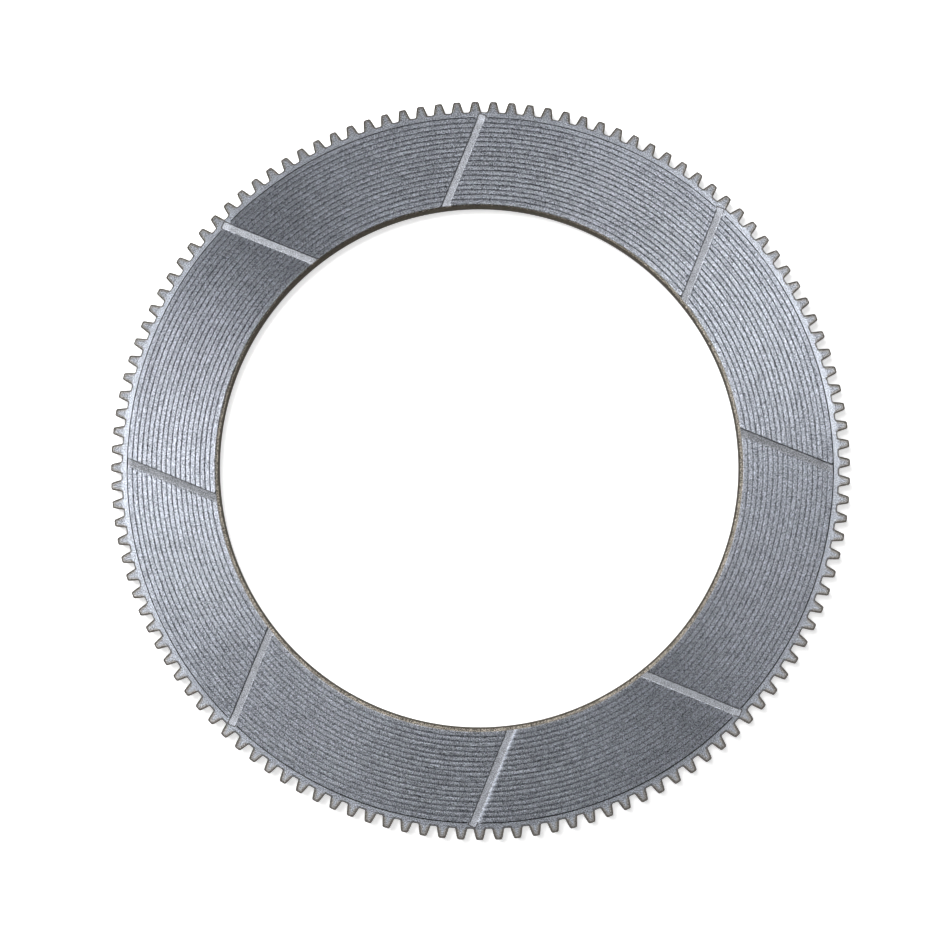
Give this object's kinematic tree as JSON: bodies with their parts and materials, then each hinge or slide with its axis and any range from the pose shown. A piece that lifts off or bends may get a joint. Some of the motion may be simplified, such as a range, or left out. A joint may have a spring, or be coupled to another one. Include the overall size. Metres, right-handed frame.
{
  "type": "clutch friction plate",
  "caption": "Flat friction ring with external spline teeth on its rim and a grooved facing bonded to each side of a steel core.",
  "frame": {"origin": "centre of the plate on its axis, halfway through its thickness", "axes": "+Z along the axis, out of the face with the ring grooves; one tooth stands on +X, and the straight oil channels run 22.5 degrees clockwise from +X and at right angles to that"},
  "size_m": [0.378, 0.378, 0.006],
  "materials": {
    "core_steel": "ground flat steel, tarnished brown on its cut edges",
    "friction_lining": "turned sintered metal, matt with fine pits"
  },
  "bodies": {
    "root": {"core_plate": "core_steel", "upper_facing": "friction_lining", "lower_facing": "friction_lining"}
  },
  "joints": []
}
